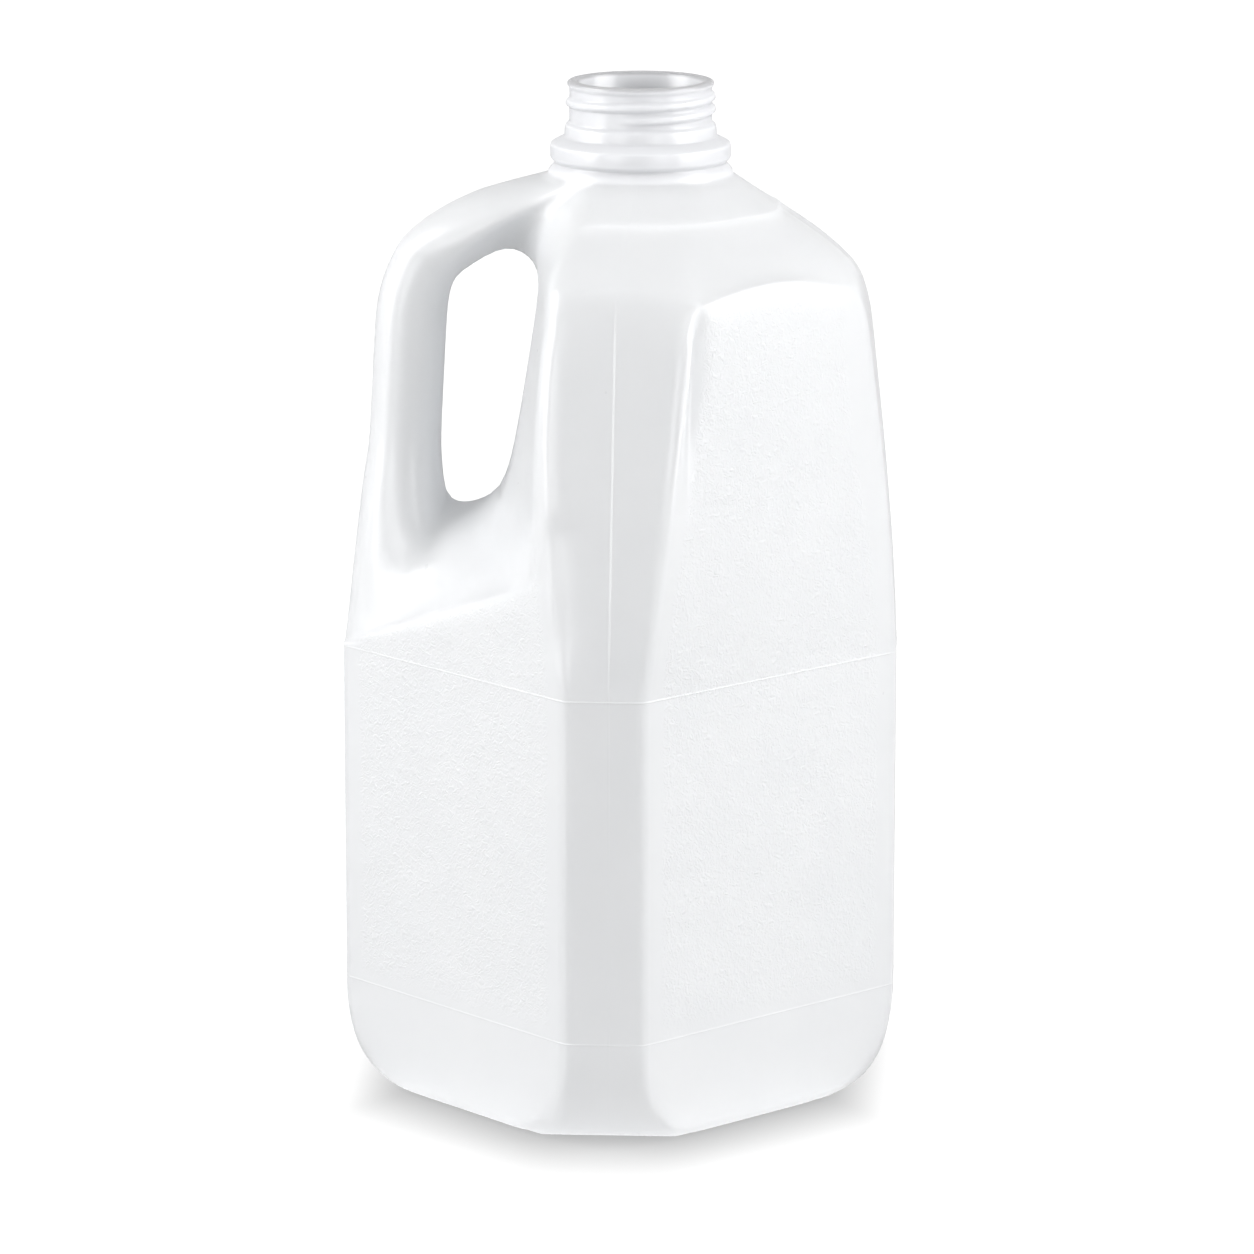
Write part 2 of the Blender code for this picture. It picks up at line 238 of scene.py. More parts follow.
# Lamps, one of each on each side: angle round the jug from its front corner, angle above the jug's
# middle, distance from it, width and height. These lengths and the middle are in metres.
JUG_MIDDLE = Vector((0.0, 0.0, 0.12))
FRONT_LAMP = (28.0, 5.0, 1.30, 0.40, 0.50)
EDGE_LAMP = (62.0, 4.0, 1.15, 0.30, 0.50)
SIDE_LAMP = (80.0, 6.0, 1.15, 0.75, 0.50)
HIGH_LAMP = (80.0, 30.0, 1.15, 0.75, 0.50)

# The floor's glow, which paints the jug's contact shadow, grows outwards from the jug's foot over a
# reach: from a line under each label face and under each cut corner, faster at the two sides. The last
# two numbers round off its steps.
FOOT_FACE = 67.0
FOOT_CORNER = 51.0
PAINTED_SHADOW_REACH = 44.0
SIDE_HASTE = 2.6
GLOW_BLEND = 12.0
GLOW_END = 0.3

# Columns of the control cage, from -X round the front of the jug to +X.
CORNER_EDGE = 1
HOLE = 5
POCKET_WALL = 7
CREASE = 8
LEFT_RIDGE = 9
FRONT = 11
RIGHT_RIDGE = 13
GROOVE = 14
FAR_EDGE = 19
FAR = 20
COLUMNS = range(FAR + 1)
LEFT_FACE_SHARES = (0.12, 0.26, 0.40, 0.53, 0.65, 0.76, 0.86)
NECK_ANGLES = (
    0, 11, 22, 31, 39, 46, 53, 60, 67, 74, 88.2, 90, 91.8, 110, 117, 124, 135, 147, 158, 168, 180,
)

# Rows of the control cage, from the middle of the base up.
CONTACT_ROWS = (2, 3)
SEAM_ROWS = 3
FOOT_SEAM_ROW = 4 + len(HEEL_ANGLES)
CREASE_ROW = FOOT_SEAM_ROW + 2 * SEAM_ROWS + 1
HOLE_ROW = CREASE_ROW + 3
TOP_ROW = HOLE_ROW + 1 + len(GRIP_HEIGHTS)

# Edge sharpness in the cage, from 0 for fully round to 1 for sharp.
CORNER_SHARP = 0.55
LIP_SHARP = 0.6
POCKET_SHARP = 0.5
RIDGE_SHARP = 0.5
GROOVE_SHARP = 0.4
ARCH_SHARP = 0.5
FLOOR_SHARP = 1.0
SEAM_SHARP = 1.0

# How often the cage is subdivided, and the distance below which its points are one.
SMOOTH_LEVELS = 2
MERGE = 0.05


# Curves and shares


def mix(start, end, share):
    """The number or point that lies a share of the way from start to end."""
    return start + (end - start) * share


def clamp(share):
    return max(0.0, min(1.0, share))


def ease(share):
    """A share from 0 to 1 that starts and ends softly."""
    share = clamp(share)
    return share * share * (3.0 - 2.0 * share)


def hump(share):
    """A curve that is 0 at both ends of a share and 1 at its middle."""
    return 4.0 * share * (1.0 - share)


def lean(height):
    """How far up the leaning wall a height lies: 0 at the seam and 1 at the shoulder."""
    return clamp((height - MID_SEAM) / (WALL_TOP - MID_SEAM))


# Outlines and rows of the control cage


def right_face(ridge, far_side, upper):
    """The points across the right label face: groove, panel edge, two inside, panel's far edge."""
    length = (far_side - ridge).length
    groove = mix(*GROOVE_GAP, upper) / length
    near = mix(*PANEL_GAP, upper) / length
    far = 1.0 - mix(*PANEL_FAR_GAP, upper) / length
    shares = (groove, near, mix(near, far, 1.0 / 3.0), mix(near, far, 2.0 / 3.0), far)
    return [mix(ridge, far_side, share) for share in shares]


def cut_square(corner, face, left=None, right=None, front=None, upper=0.0):
    """Half an outline with cut corners, one (x, y) point for each column of the cage."""
    edge = face * ROOT2 - corner
    front = corner if front is None else front
    left = edge if left is None else left
    right = edge if right is None else right
    handle_side = Vector((-corner, -edge))
    ridges = (Vector((-left, -front)), Vector((right, -front)))
    far_side = Vector((corner, -edge))
    points = [Vector((-corner, 0.0)), handle_side]
    points += [mix(handle_side, ridges[0], share) for share in LEFT_FACE_SHARES]
    seam = SEAM_SIDE + SEAM_SHIFT * upper
    rib = [Vector((seam + side * SEAM_HALF, -front)) for side in (-1.0, 0.0, 1.0)]
    points += [ridges[0], *rib, ridges[1]]
    points += right_face(ridges[1], far_side, upper)
    points += [far_side, Vector((corner, 0.0))]
    return points


def at_height(points, height):
    return [Vector((point.x, point.y, height)) for point in points]


def base_rows():
    """The raised middle of the base and the flat ring that the jug stands on."""
    contact = cut_square(CORNER - HEEL_CORNER_IN, FACE - HEEL_FACE_IN)
    middle = [Vector((0.0, 0.0)) for point in contact]
    recess = [point * RECESS_SHARE for point in contact]
    inner = [point * CONTACT_SHARE for point in contact]
    rows = [at_height(middle, RECESS_HEIGHT), at_height(recess, RECESS_HEIGHT)]
    return rows + [at_height(inner, 0.0), at_height(contact, 0.0)]


def heel_row(angle):
    """One row of the rounded heel: 90 degrees is the floor and 0 the upright wall."""
    reach = 1.0 - math.cos(math.radians(angle))
    rise = 1.0 - math.sin(math.radians(angle))
    outline = cut_square(CORNER - HEEL_CORNER_IN * reach, FACE - HEEL_FACE_IN * reach)
    row = at_height(outline, HEEL_FACE_UP * rise)
    for column in (0, CORNER_EDGE, *range(LEFT_RIDGE, RIGHT_RIDGE + 1), FAR_EDGE, FAR):
        row[column].z = HEEL_CORNER_UP * rise
    return row


def seam_rows(height, rise):
    """Three close rows whose middle one stands out, which make a fine level rib."""
    plain = cut_square(CORNER, FACE)
    raised = cut_square(CORNER + rise, FACE + rise)
    rows = ((plain, height - SEAM_HALF), (raised, height), (plain, height + SEAM_HALF))
    return [at_height(outline, level) for outline, level in rows]


def front_distance(height):
    """Distance from the axis to the cut front corner."""
    return CORNER - FRONT_LEAN * lean(height) ** LEAN_CURVE


def left_ridge(height):
    """Distance from the middle to the edge of the front corner on the pocket's side."""
    share = lean(height)
    return EDGE + RIDGE_SHIFT * share + RIDGE_BULGE * hump(share)


def wall_outline(height):
    """The outline of the upper body, as if it had no grip pocket."""
    share = lean(height)
    corner = CORNER - CORNER_LEAN * share ** LEAN_CURVE
    right = EDGE + RIDGE_SPREAD * share
    outline = cut_square(corner, FACE, left_ridge(height), right, front_distance(height), share)
    groove = GROOVE_DEPTH * ease((height - GROOVE_START) / (WALL_TOP - GROOVE_START))
    outline[GROOVE] += Vector((-groove, groove)) / ROOT2
    return outline


def crease_height(x):
    """Height of the pocket's lower edge on the label face."""
    return CREASE_START + CREASE_CLIMB * (x + CORNER)


def seam_to_crease_row(share):
    """A row between the middle seam and the pocket's lower edge, which is at share 1."""
    face = cut_square(CORNER, FACE)
    row = []
    for point in face[:LEFT_RIDGE]:
        height = mix(MID_SEAM + SEAM_HALF, crease_height(point.x), share)
        row.append(Vector((point.x, point.y, height)))
    height = mix(MID_SEAM + SEAM_HALF, CREASE_TURN, share)
    return row + at_height(wall_outline(height)[LEFT_RIDGE:], height)


def tube_ring(centre, tilt, flare=0.0):
    """Half a ring round the handle, from its outer side to the side facing the hole."""
    outward = Vector((-math.cos(math.radians(tilt)), 0.0, math.sin(math.radians(tilt))))
    thick = (TUBE_THICK + flare) / RING_SHRINK
    depth = (TUBE_DEPTH + flare) / RING_SHRINK
    ring = []
    for angle in TUBE_ANGLES:
        around = math.radians(angle)
        fuller = 1.0 + TUBE_SQUARE * math.sin(2.0 * around) ** 2
        side = Vector((0.0, -depth * fuller * math.sin(around), 0.0))
        ring.append(centre + outward * (thick * fuller * math.cos(around)) + side)
    return ring


def crease_point(height):
    """The pocket's upright edge, which closes in on the front corner as it rises."""
    low = clamp((CREASE_STRAIGHT - height) / (CREASE_STRAIGHT - CREASE_TURN))
    gap = mix(CREASE_GAP_HIGH, CREASE_GAP_LOW, low ** CREASE_GAP_CURVE)
    x = left_ridge(height) + gap
    y = min(FACE * ROOT2 - x, front_distance(height) - gap * CREASE_SET_BACK)
    return Vector((-x, -y, height))


def body_side(height):
    """The columns from the hole round the front to +X, at one height."""
    share = clamp((height - TUBE_START.z) / (WALL_TOP - TUBE_START.z)) ** WALL_FOOT_CURVE
    foot = Vector((-mix(WALL_FOOT_LOW, WALL_FOOT_HIGH, share), 0.0, height))
    crease = crease_point(height)
    outline = wall_outline(height)
    return [foot, mix(foot, crease, 0.5), crease] + at_height(outline[LEFT_RIDGE:], height)


def hole_bottom_row():
    handle = tube_ring(TUBE_START, TUBE_TILT, TUBE_FLARE)
    return handle + [HOLE_BOTTOM] + body_side(TUBE_START.z)


def pocket_row(crease, hole):
    """The hollow floor of the pocket, between its edge and the foot of the hole."""
    row = []
    for column in COLUMNS:
        inside = 0 < column < CREASE
        point = mix(crease[column], hole[column], POCKET_SINK if inside else 0.5)
        if CORNER_EDGE < column < CREASE:
            point.z = mix(crease[column].z, hole[column].z, POCKET_RISE)
        row.append(point)
    return row


def lip_row(crease, pocket):
    """The small ledge inside the pocket's lower edge."""
    row = [mix(start, end, LIP_SHARE) for start, end in zip(crease, pocket)]
    inward = Vector((LIP_IN, LIP_IN, 0.0)) / ROOT2
    for column in range(CORNER_EDGE + 1, CREASE):
        row[column] = crease[column] + inward + Vector((0.0, 0.0, LIP_UP))
    return row


def grip_row(height):
    """A row across the open hole, whose own column is cut away later."""
    centre = Vector((TUBE_START.x + TUBE_LEAN * (height - TUBE_START.z), 0.0, height))
    handle = tube_ring(centre, TUBE_TILT)
    row = handle + [Vector((HOLE_BOTTOM.x, 0.0, height))] + body_side(height)
    if height == WALL_TOP:
        for point, rise in zip(row[GROOVE:], ARCH_RISE[1:]):
            point.z += PANEL_TOP + rise / 2.0
    return row


def top_row():
    """The row over the top of the hole, where the walls turn in to the shoulder."""
    handle = tube_ring(TUBE_BEND, TUBE_BEND_TILT, -TUBE_FLARE / 2.0)
    foot = Vector((-WALL_FOOT_HIGH, 0.0, WALL_FOOT_TOP))
    left, right = SHOULDER_RIDGES
    outline = cut_square(SHOULDER_EDGE, SHOULDER_FACE, left, EDGE + RIDGE_SPREAD, upper=1.0)
    outline[RIGHT_RIDGE].x = right
    crease = Vector((-left - CREASE_GAP_HIGH, CREASE_GAP_HIGH - SHOULDER_EDGE, WALL_FOOT_TOP))
    walls = at_height(outline[LEFT_RIDGE:], SHOULDER_HEIGHT)
    for point, rise in zip(walls[RIGHT_RIDGE - LEFT_RIDGE:], ARCH_RISE):
        point.z += rise
    return handle + [HOLE_TOP, foot, mix(foot, crease, 0.5), crease] + walls


def neck_point(column):
    radius, height = NECK_BASE
    angle = math.radians(NECK_ANGLES[column])
    return Vector((NECK_OFFSET - radius * math.cos(angle), -radius * math.sin(angle), height))


def root_swell(column):
    """How far the handle's root stands out from a straight run to the neck."""
    if column > CREASE:
        return Vector((0.0, 0.0, 0.0))
    angle = math.radians(TUBE_ANGLES[min(column, HOLE - 1)])
    swell = Vector((-ROOT_BACK, -ROOT_OUT * math.sin(angle / 2.0), ROOT_UP))
    swell.z += ROOT_CROWN * math.cos(angle)
    return swell if column < HOLE else swell * ROOT_FADES[column - HOLE]


def dip_share(column):
    """How much of a shoulder dip a column has: the front corner rises a little instead."""
    if column <= RIGHT_RIDGE:
        return -FRONT_CROWN
    return min(1.0, (FAR - column) / DIP_COLUMNS)


def shoulder_point(column, start, share, dip):
    """A point of the shoulder: share is 1 at its outer edge and 0 at the neck."""
    end = neck_point(column)
    point = mix(end, start, share)
    if column > POCKET_WALL:
        bend = share ** SHOULDER_BEND_CURVE
        fall = mix(share, bend, SHOULDER_BEND)
        point.z = end.z - (end.z - SHOULDER_HEIGHT) * fall - SHOULDER_SAG * hump(share)
        point.z -= (SHOULDER_HEIGHT - start.z) * bend + dip * dip_share(column)
    return point + root_swell(column) * hump(share) / 2.0


def shoulder_rows(top, rise):
    """Rows from the shoulder's edge to the neck, with a fine ledge across the shoulder."""
    half = LEDGE_HALF / SHOULDER_REACH
    plain = (SHOULDER_LINE + half, SHOULDER_LINE, SHOULDER_LINE - half, SHOULDER_TOP_SHARE)
    settings = [*SHOULDER_DIPS, *[(share, 0.0) for share in plain]]
    rows = []
    for share, dip in settings:
        row = [shoulder_point(column, top[column], share, dip) for column in COLUMNS]
        if share == SHOULDER_LINE:
            for point in row[LEFT_RIDGE:]:
                point.z += rise * LEDGE_SHARE
        rows.append(row)
    return rows


def raise_front_seam(rows, rise):
    """Lift the middle of the upright seam on the front corner, most of all beside the pocket."""
    for index, row in enumerate(rows[CONTACT_ROWS[-1]:-1], CONTACT_ROWS[-1]):
        outward = Vector((0.0, -1.0, 0.0 if index <= TOP_ROW else 1.0)).normalized()
        beside_pocket = CREASE_ROW <= index + 1 <= TOP_ROW
        row[FRONT] += outward * rise * (1.0 if beside_pocket else SEAM_FADE)


def body_rows(rise):
    """Every row of the control cage, from the middle of the base up to the neck."""
    crease = seam_to_crease_row(1.0)
    hole = hole_bottom_row()
    pocket = pocket_row(crease, hole)
    top = top_row()
    rows = base_rows()
    rows += [heel_row(angle) for angle in HEEL_ANGLES]
    rows += seam_rows(FOOT_SEAM, rise * FOOT_SHARE)
    rows += seam_rows(MID_SEAM, rise)
    rows += [seam_to_crease_row(0.5), crease, lip_row(crease, pocket), pocket, hole]
    rows += [grip_row(height) for height in GRIP_HEIGHTS]
    rows.append(top)
    rows += shoulder_rows(top, rise)
    rows.append([neck_point(column) for column in COLUMNS])
    raise_front_seam(rows, rise)
    return rows


# Cage and smooth skin


def sharpen(cage, line, sharpness):
    """Give each edge along a line of cage points its sharpness; at 1 its shading is split too."""
    layer = cage.edges.layers.float["crease_edge"]
    for start, end in zip(line, line[1:]):
        edge = cage.edges.get((start, end))
        if edge is not None:
            edge[layer] = sharpness
            edge.smooth = sharpness < 1.0


def sharpen_columns(cage, lines, columns, sharpness):
    for column in columns:
        sharpen(cage, [line[column] for line in lines], sharpness)


def sharpen_cage(cage, grid):
    """Tighten the folds of the jug: floor ring, seams, pocket edge, panel arch and corners."""
    for index in CONTACT_ROWS:
        sharpen(cage, grid[index], FLOOR_SHARP)
    for index in range(FOOT_SEAM_ROW, FOOT_SEAM_ROW + 2 * SEAM_ROWS):
        sharpen(cage, grid[index], SEAM_SHARP)
    sharpen_columns(cage, grid[FOOT_SEAM_ROW:], (FRONT - 1, FRONT, FRONT + 1), SEAM_SHARP)
    sharpen(cage, grid[CREASE_ROW + 1][CORNER_EDGE + 1:CREASE], LIP_SHARP)
    sharpen(cage, grid[TOP_ROW][GROOVE:FAR_EDGE + 1], ARCH_SHARP)
    sharpen_columns(cage, grid[CREASE_ROW + 1:TOP_ROW], (CREASE,), POCKET_SHARP)
    upper_wall = grid[HOLE_ROW:TOP_ROW]
    sharpen_columns(cage, upper_wall, (LEFT_RIDGE,), RIDGE_SHARP)
    sharpen_columns(cage, upper_wall, (GROOVE,), GROOVE_SHARP)
    foot = CONTACT_ROWS[-1]
    sharpen_columns(cage, grid[foot:TOP_ROW], (RIGHT_RIDGE, FAR_EDGE), CORNER_SHARP)
    sharpen_columns(cage, grid[foot:CREASE_ROW], (CORNER_EDGE, LEFT_RIDGE), CORNER_SHARP)


def build_cage(rise):
    """The control cage: a flat grid moved onto the jug's rows, opened at the hole and mirrored."""
    rows = body_rows(rise)
    cage = bmesh.new()
    cage.edges.layers.float.new("crease_edge")
    bmesh.ops.create_grid(cage, x_segments=FAR, y_segments=len(rows) - 1, size=0.5)
    cage.verts.ensure_lookup_table()
    across = len(COLUMNS)
    grid = [cage.verts[index * across:(index + 1) * across] for index in range(len(rows))]
    for line, row in zip(grid, rows):
        for vert, point in zip(line, row):
            vert.co = point * MM
    sharpen_cage(cage, grid)
    hole = [line[HOLE] for line in grid[HOLE_ROW + 1:TOP_ROW]]
    bmesh.ops.delete(cage, geom=hole, context="VERTS")
    bmesh.ops.remove_doubles(cage, verts=grid[0], dist=MERGE * MM)
    half = cage.verts[:] + cage.edges[:] + cage.faces[:]
    bmesh.ops.mirror(cage, geom=half, axis="Y", merge_dist=MERGE * MM)
    bmesh.ops.recalc_face_normals(cage, faces=cage.faces[:])
    return cage


def smooth_skin(rise):
    """The cage smoothed by subdivision, as a mesh that is open at the neck."""
    cage = build_cage(rise)
    data = bpy.data.meshes.new("jug_cage")
    cage.to_mesh(data)
    cage.free()
    guide = bpy.data.objects.new("jug_cage", data)
    bpy.context.scene.collection.objects.link(guide)
    smooth = guide.modifiers.new("Subdivision", "SUBSURF")
    smooth.levels = SMOOTH_LEVELS
    smooth.render_levels = SMOOTH_LEVELS
    bpy.context.view_layer.update()
    evaluated = guide.evaluated_get(bpy.context.evaluated_depsgraph_get())
    skin = bmesh.new()
    skin.from_mesh(evaluated.to_mesh())
    bpy.data.objects.remove(guide)
    bpy.data.meshes.remove(data)
    return skin


def parting_line(skin, half_width, rise):
    """The fine rib where the mould's halves met: it runs over the handle and the opposite corner."""
    for offset in (-half_width, half_width, 0.0):
        cut = bmesh.ops.bisect_plane(
            skin,
            geom=skin.verts[:] + skin.edges[:] + skin.faces[:],
            dist=MERGE * MM,
            plane_co=(0.0, offset, 0.0),
            plane_no=(0.0, 1.0, 0.0),
            use_snap_center=offset == 0.0,
        )
    skin.normal_update()
    edges = [item for item in cut["geom_cut"] if isinstance(item, bmesh.types.BMEdge)]
    middle = {vert for edge in edges for vert in edge.verts if vert.co.z > rise}
    for vert, normal in [(vert, vert.normal.copy()) for vert in middle]:
        vert.co += normal * rise


# Neck and shell


def open_edges(skin):
    return [edge for edge in skin.edges if edge.is_boundary]


def thread_rise(angle, height):
    """How far the thread stands out of the neck's wall at an angle and height."""
    rise = 0.0
    for turned in (angle, angle + 360.0):
        middle = THREAD_LEVEL + THREAD_PITCH * (turned - THREAD_FRONT) / 360.0
        ends = min(turned - THREAD_FIRST, THREAD_LAST - turned) / THREAD_FADE
        flank = (THREAD_ROOT_HALF - abs(height - middle)) / (THREAD_ROOT_HALF - THREAD_CREST_HALF)
        rise = max(rise, THREAD_RISE * ease(ends) * ease(flank))
    return rise


def raise_ring(skin, edges, radius, height, thread):
    """Extrude a ring of edges to a circle round the neck's axis and return the new ring."""
    made = bmesh.ops.extrude_edge_only(skin, edges=edges)["geom"]
    for vert in made:
        if isinstance(vert, bmesh.types.BMVert):
            angle = math.atan2(vert.co.y, vert.co.x - NECK_OFFSET * MM)
            turned = (math.degrees(angle) + 180.0) % 360.0
            reach = radius + thread * thread_rise(turned, height)
            vert.co.x = (NECK_OFFSET + reach * math.cos(angle)) * MM
            vert.co.y = reach * math.sin(angle) * MM
            vert.co.z = height * MM
    return [edge for edge in made if isinstance(edge, bmesh.types.BMEdge)]


def rounded(corners, reach):
    """A run of points with each inner corner turned into a short curve."""
    points = [Vector(corners[0])]
    for before, corner, after in zip(corners, corners[1:], corners[2:]):
        before, corner, after = Vector(before), Vector(corner), Vector(after)
        back = min(reach, (before - corner).length * ROUND_LIMIT)
        ahead = min(reach, (after - corner).length * ROUND_LIMIT)
        start = corner + (before - corner).normalized() * back
        end = corner + (after - corner).normalized() * ahead
        for step in range(ROUND_STEPS + 1):
            share = step / ROUND_STEPS
            points.append(mix(mix(start, corner, share), mix(corner, end, share), share))
    return points + [Vector(corners[-1])]


def spaced(points, step, low, high):
    """The same run with the long stretches between two heights cut into short steps."""
    run = [points[0]]
    for start, end in zip(points, points[1:]):
        count = 1
        if min(start.y, end.y) > low and max(start.y, end.y) < high:
            count = max(1, math.ceil((end - start).length / step))
        run += [mix(start, end, index / count) for index in range(1, count + 1)]
    return run


def outer_skin(seam_rise):
    """The outside of the jug, with its seams and its threaded neck, open at the lip."""
    skin = smooth_skin(seam_rise / MM)
    parting_line(skin, SEAM_HALF * MM, seam_rise * FOOT_SHARE)
    ring = open_edges(skin)
    outside = spaced(rounded(NECK_OUTSIDE, NECK_ROUND), RING_STEP, NECK_BAND, NECK_LIP)
    for radius, height in outside:
        ring = raise_ring(skin, ring, radius, height, float(NECK_BAND < height < NECK_LIP))
    return skin


def inner_skin(wall):
    """The inside of the jug: the plain body moved in by the wall, and the bore of the neck."""
    skin = smooth_skin(0.0)
    skin.normal_update()
    inward = [vert.normal * wall for vert in skin.verts]
    for vert, offset in zip(skin.verts, inward):
        vert.co -= offset
    bmesh.ops.reverse_faces(skin, faces=skin.faces[:])
    ring = open_edges(skin)
    for radius, height in rounded(NECK_INSIDE, NECK_ROUND):
        ring = raise_ring(skin, ring, radius, height, 0.0)
    return skin


def build_shell(sizes):
    """The whole jug as one closed shell: the two skins, joined at the lip."""
    skin = outer_skin(sizes.seam_rise)
    inside = inner_skin(sizes.wall)
    data = bpy.data.meshes.new("inner_skin")
    inside.to_mesh(data)
    inside.free()
    skin.from_mesh(data)
    bpy.data.meshes.remove(data)
    bmesh.ops.bridge_loops(skin, edges=open_edges(skin))
    bmesh.ops.recalc_face_normals(skin, faces=skin.faces[:])
    return skin


# Materials


def feed(tree, socket, value):
    """Set a node's input to a number or colour, or link it to another node's output."""
    if isinstance(value, bpy.types.NodeSocket):
        tree.links.new(value, socket)
    else:
        socket.default_value = value


def value_node(tree, operation, *values):
    """A Math node whose inputs are numbers or other nodes' sockets."""
    node = tree.nodes.new("ShaderNodeMath")
    node.operation = operation
    for socket, value in zip(node.inputs, values):
        feed(tree, socket, value)
    return node.outputs["Value"]


def product_node(tree, first, *others):
    """The product of some values, as a chain of Math nodes."""
    for value in others:
        first = value_node(tree, "MULTIPLY", first, value)
    return first


def mix_node(tree, share, first, second, kind="RGBA"):
    """A Mix node between two colours, or between two numbers when its kind is FLOAT."""
    node = tree.nodes.new("ShaderNodeMix")
    node.data_type = kind
    feed(tree, node.inputs["Factor"], share)
    feed(tree, node.inputs["A"], first)
    feed(tree, node.inputs["B"], second)
    return node.outputs["Result"]


def split_node(tree, vector):
    """The X, Y and Z outputs of a vector."""
    node = tree.nodes.new("ShaderNodeSeparateXYZ")
    tree.links.new(vector, node.inputs["Vector"])
    return node.outputs


def object_place(tree):
    return tree.nodes.new("ShaderNodeTexCoord").outputs["Object"]


def ramp_node(tree, value, start, end):
    """A soft step from 0 where the value is at start to 1 where it is at end."""
    node = tree.nodes.new("ShaderNodeMapRange")
    node.interpolation_type = "SMOOTHSTEP"
    tree.links.new(value, node.inputs["Value"])
    node.inputs["From Min"].default_value = start
    node.inputs["From Max"].default_value = end
    return node.outputs["Result"]


def noise_node(tree, vector, scale, detail, distortion=0.0):
    """A Noise Texture's value, on given coordinates."""
    node = tree.nodes.new("ShaderNodeTexNoise")
    node.inputs["Scale"].default_value = scale
    node.inputs["Detail"].default_value = detail
    node.inputs["Distortion"].default_value = distortion
    tree.links.new(vector, node.inputs["Vector"])
    return node.outputs["Fac"]


def grain_mask(tree, place):
    """1 on the flat label faces and 0 elsewhere, with soft edges a little inside the faces'."""
    x, y, height = split_node(tree, place)
    x = value_node(tree, "ABSOLUTE", x)
    y = value_node(tree, "ABSOLUTE", y)
    back, front = (FACE * ROOT2 - gap for gap in GRAIN_GAPS)
    on_face = ramp_node(tree, value_node(tree, "ADD", x, y), back * MM, front * MM)
    apart = value_node(tree, "ABSOLUTE", value_node(tree, "SUBTRACT", x, y))
    up = ramp_node(tree, height, MID_SEAM * MM, WALL_TOP * MM)
    narrower = value_node(tree, "MULTIPLY_ADD", up, GRAIN_NARROWING * MM, apart)
    inside = ramp_node(tree, narrower, GRAIN_REACH * MM, (GRAIN_REACH - GRAIN_EDGE) * MM)
    above = ramp_node(tree, height, GRAIN_LOW * MM, (GRAIN_LOW + 2.0 * GRAIN_EDGE) * MM)
    below = ramp_node(tree, height, GRAIN_HIGH * MM, (GRAIN_HIGH - 2.0 * GRAIN_EDGE) * MM)
    return product_node(tree, on_face, inside, above, below)


def grain_group():
    """Leather-like mould grain on the flat label faces, as a height and the mask that it lies in."""
    group = bpy.data.node_groups.new("label_grain", "ShaderNodeTree")
    group.interface.new_socket("Place", in_out="INPUT", socket_type="NodeSocketVector")
    group.interface.new_socket("Grain Size", in_out="INPUT", socket_type="NodeSocketFloat")
    group.interface.new_socket("Height", in_out="OUTPUT", socket_type="NodeSocketFloat")
    group.interface.new_socket("Mask", in_out="OUTPUT", socket_type="NodeSocketFloat")
    come = group.nodes.new("NodeGroupInput")
    leave = group.nodes.new("NodeGroupOutput")
    mask = grain_mask(group, come.outputs["Place"])
    sized = group.nodes.new("ShaderNodeVectorMath")
    sized.operation = "DIVIDE"
    group.links.new(come.outputs["Place"], sized.inputs[0])
    group.links.new(come.outputs["Grain Size"], sized.inputs[1])
    worms = noise_node(group, sized.outputs["Vector"], 1.0, 0.0, GRAIN_TWIST)
    ridges = value_node(group, "ABSOLUTE", value_node(group, "SUBTRACT", worms, 0.5))
    group.links.new(product_node(group, ridges, mask), leave.inputs["Height"])
    group.links.new(mask, leave.inputs["Mask"])
    return group


def plastic_colour(tree, place, look):
    """The faintly clouded body colour, which gives way to the painted shade of the neck and then of the
    lip.
    """
    height = split_node(tree, place)["Z"]
    cloud = noise_node(tree, place, CLOUD_SCALE, 2.0)
    colour = mix_node(tree, cloud, look.thin_colour, look.thick_colour)
    # Painted shade: the neck and the lip are painted darker than the body, for the dimmer look of their
    # thick walls.
    for (low, high), next_painted_shade in ((NECK_SHADE, look.neck_painted_shade), (LIP_SHADE, look.lip_painted_shade)):
        colour = mix_node(tree, ramp_node(tree, height, low * MM, high * MM), colour, next_painted_shade)
    return colour


def plastic_material(look):
    """Milky natural plastic that lets light into its walls and has a waxy shine."""
    plastic = bpy.data.materials.new("milky_plastic")
    plastic.use_nodes = True
    tree = plastic.node_tree
    shader = tree.nodes["Principled BSDF"]
    shader.inputs["IOR"].default_value = PLASTIC_IOR
    shader.inputs["Subsurface Weight"].default_value = look.glow
    shader.inputs["Subsurface Radius"].default_value = (1.0, 1.0, 1.0)
    shader.inputs["Subsurface Scale"].default_value = look.glow_depth
    shader.inputs["Transmission Weight"].default_value = look.clearness
    place = object_place(tree)
    tree.links.new(plastic_colour(tree, place, look), shader.inputs["Base Color"])
    grain = tree.nodes.new("ShaderNodeGroup")
    grain.node_tree = grain_group()
    grain.inputs["Grain Size"].default_value = look.grain_size
    tree.links.new(place, grain.inputs["Place"])
    mask = grain.outputs["Mask"]
    rough = value_node(tree, "MULTIPLY_ADD", mask, GRAIN_DULLING, look.roughness)
    scuffs = noise_node(tree, place, SCUFF_SCALE, 3.0)
    rough = value_node(tree, "MULTIPLY_ADD", scuffs, SCUFF_DULLING, rough)
    tree.links.new(rough, shader.inputs["Roughness"])
    waves = noise_node(tree, place, WAVE_SCALE, 2.0)
    uneven = value_node(tree, "MULTIPLY_ADD", waves, look.waviness, grain.outputs["Height"])
    bump = tree.nodes.new("ShaderNodeBump")
    bump.inputs["Strength"].default_value = 1.0
    bump.inputs["Distance"].default_value = look.grain_depth
    tree.links.new(uneven, bump.inputs["Height"])
    tree.links.new(bump.outputs["Normal"], shader.inputs["Normal"])
    return plastic


